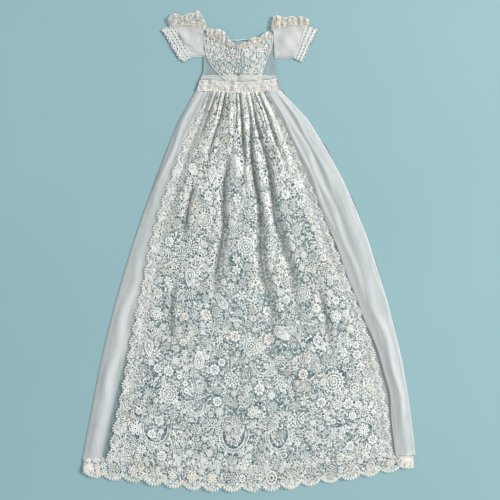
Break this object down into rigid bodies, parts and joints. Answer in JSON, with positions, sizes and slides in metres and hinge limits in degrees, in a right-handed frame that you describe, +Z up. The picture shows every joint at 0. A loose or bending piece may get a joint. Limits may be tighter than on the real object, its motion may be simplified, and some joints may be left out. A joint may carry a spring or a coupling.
{
  "type": "christening gown",
  "caption": "Long christening gown of sheer muslin and needle lace, laid flat, with a gathered lace front, scalloped hem and short sleeves.",
  "frame": {"origin": "below the middle of the gown's box, on the surface it lies on", "axes": "+Y along the gown towards the neck, +X towards the right as seen from above with the neck up, +Z up from the surface"},
  "size_m": [0.766, 1.1038, 0.0122],
  "materials": {
    "muslin": "sheer plain weave",
    "needle_lace": "openwork needle lace",
    "insertion": "embroidered band",
    "cord": "fine cotton cord"
  },
  "bodies": {
    "root": {"skirt_back": "muslin", "skirt_front_left": "muslin", "skirt_front_right": "muslin", "lace_panel": "needle_lace", "edging_left": "needle_lace", "edging_right": "needle_lace", "hem_lace_front": "needle_lace", "hem_lace_back": "needle_lace", "waistband_front": "insertion", "waistband_back": "insertion", "bodice_front": "muslin", "bodice_lace_left": "needle_lace", "bodice_lace_right": "needle_lace", "bodice_back_left": "muslin", "bodice_back_right": "muslin", "sleeve_left_front": "muslin", "sleeve_left_back": "muslin", "sleeve_right_front": "muslin", "sleeve_right_back": "muslin", "cuff_left_front": "needle_lace", "cuff_left_back": "needle_lace", "cuff_right_front": "needle_lace", "cuff_right_back": "needle_lace", "shoulder_frill_left": "needle_lace", "shoulder_frill_right": "needle_lace", "neck_frill": "needle_lace", "neck_string": "cord"}
  },
  "joints": []
}
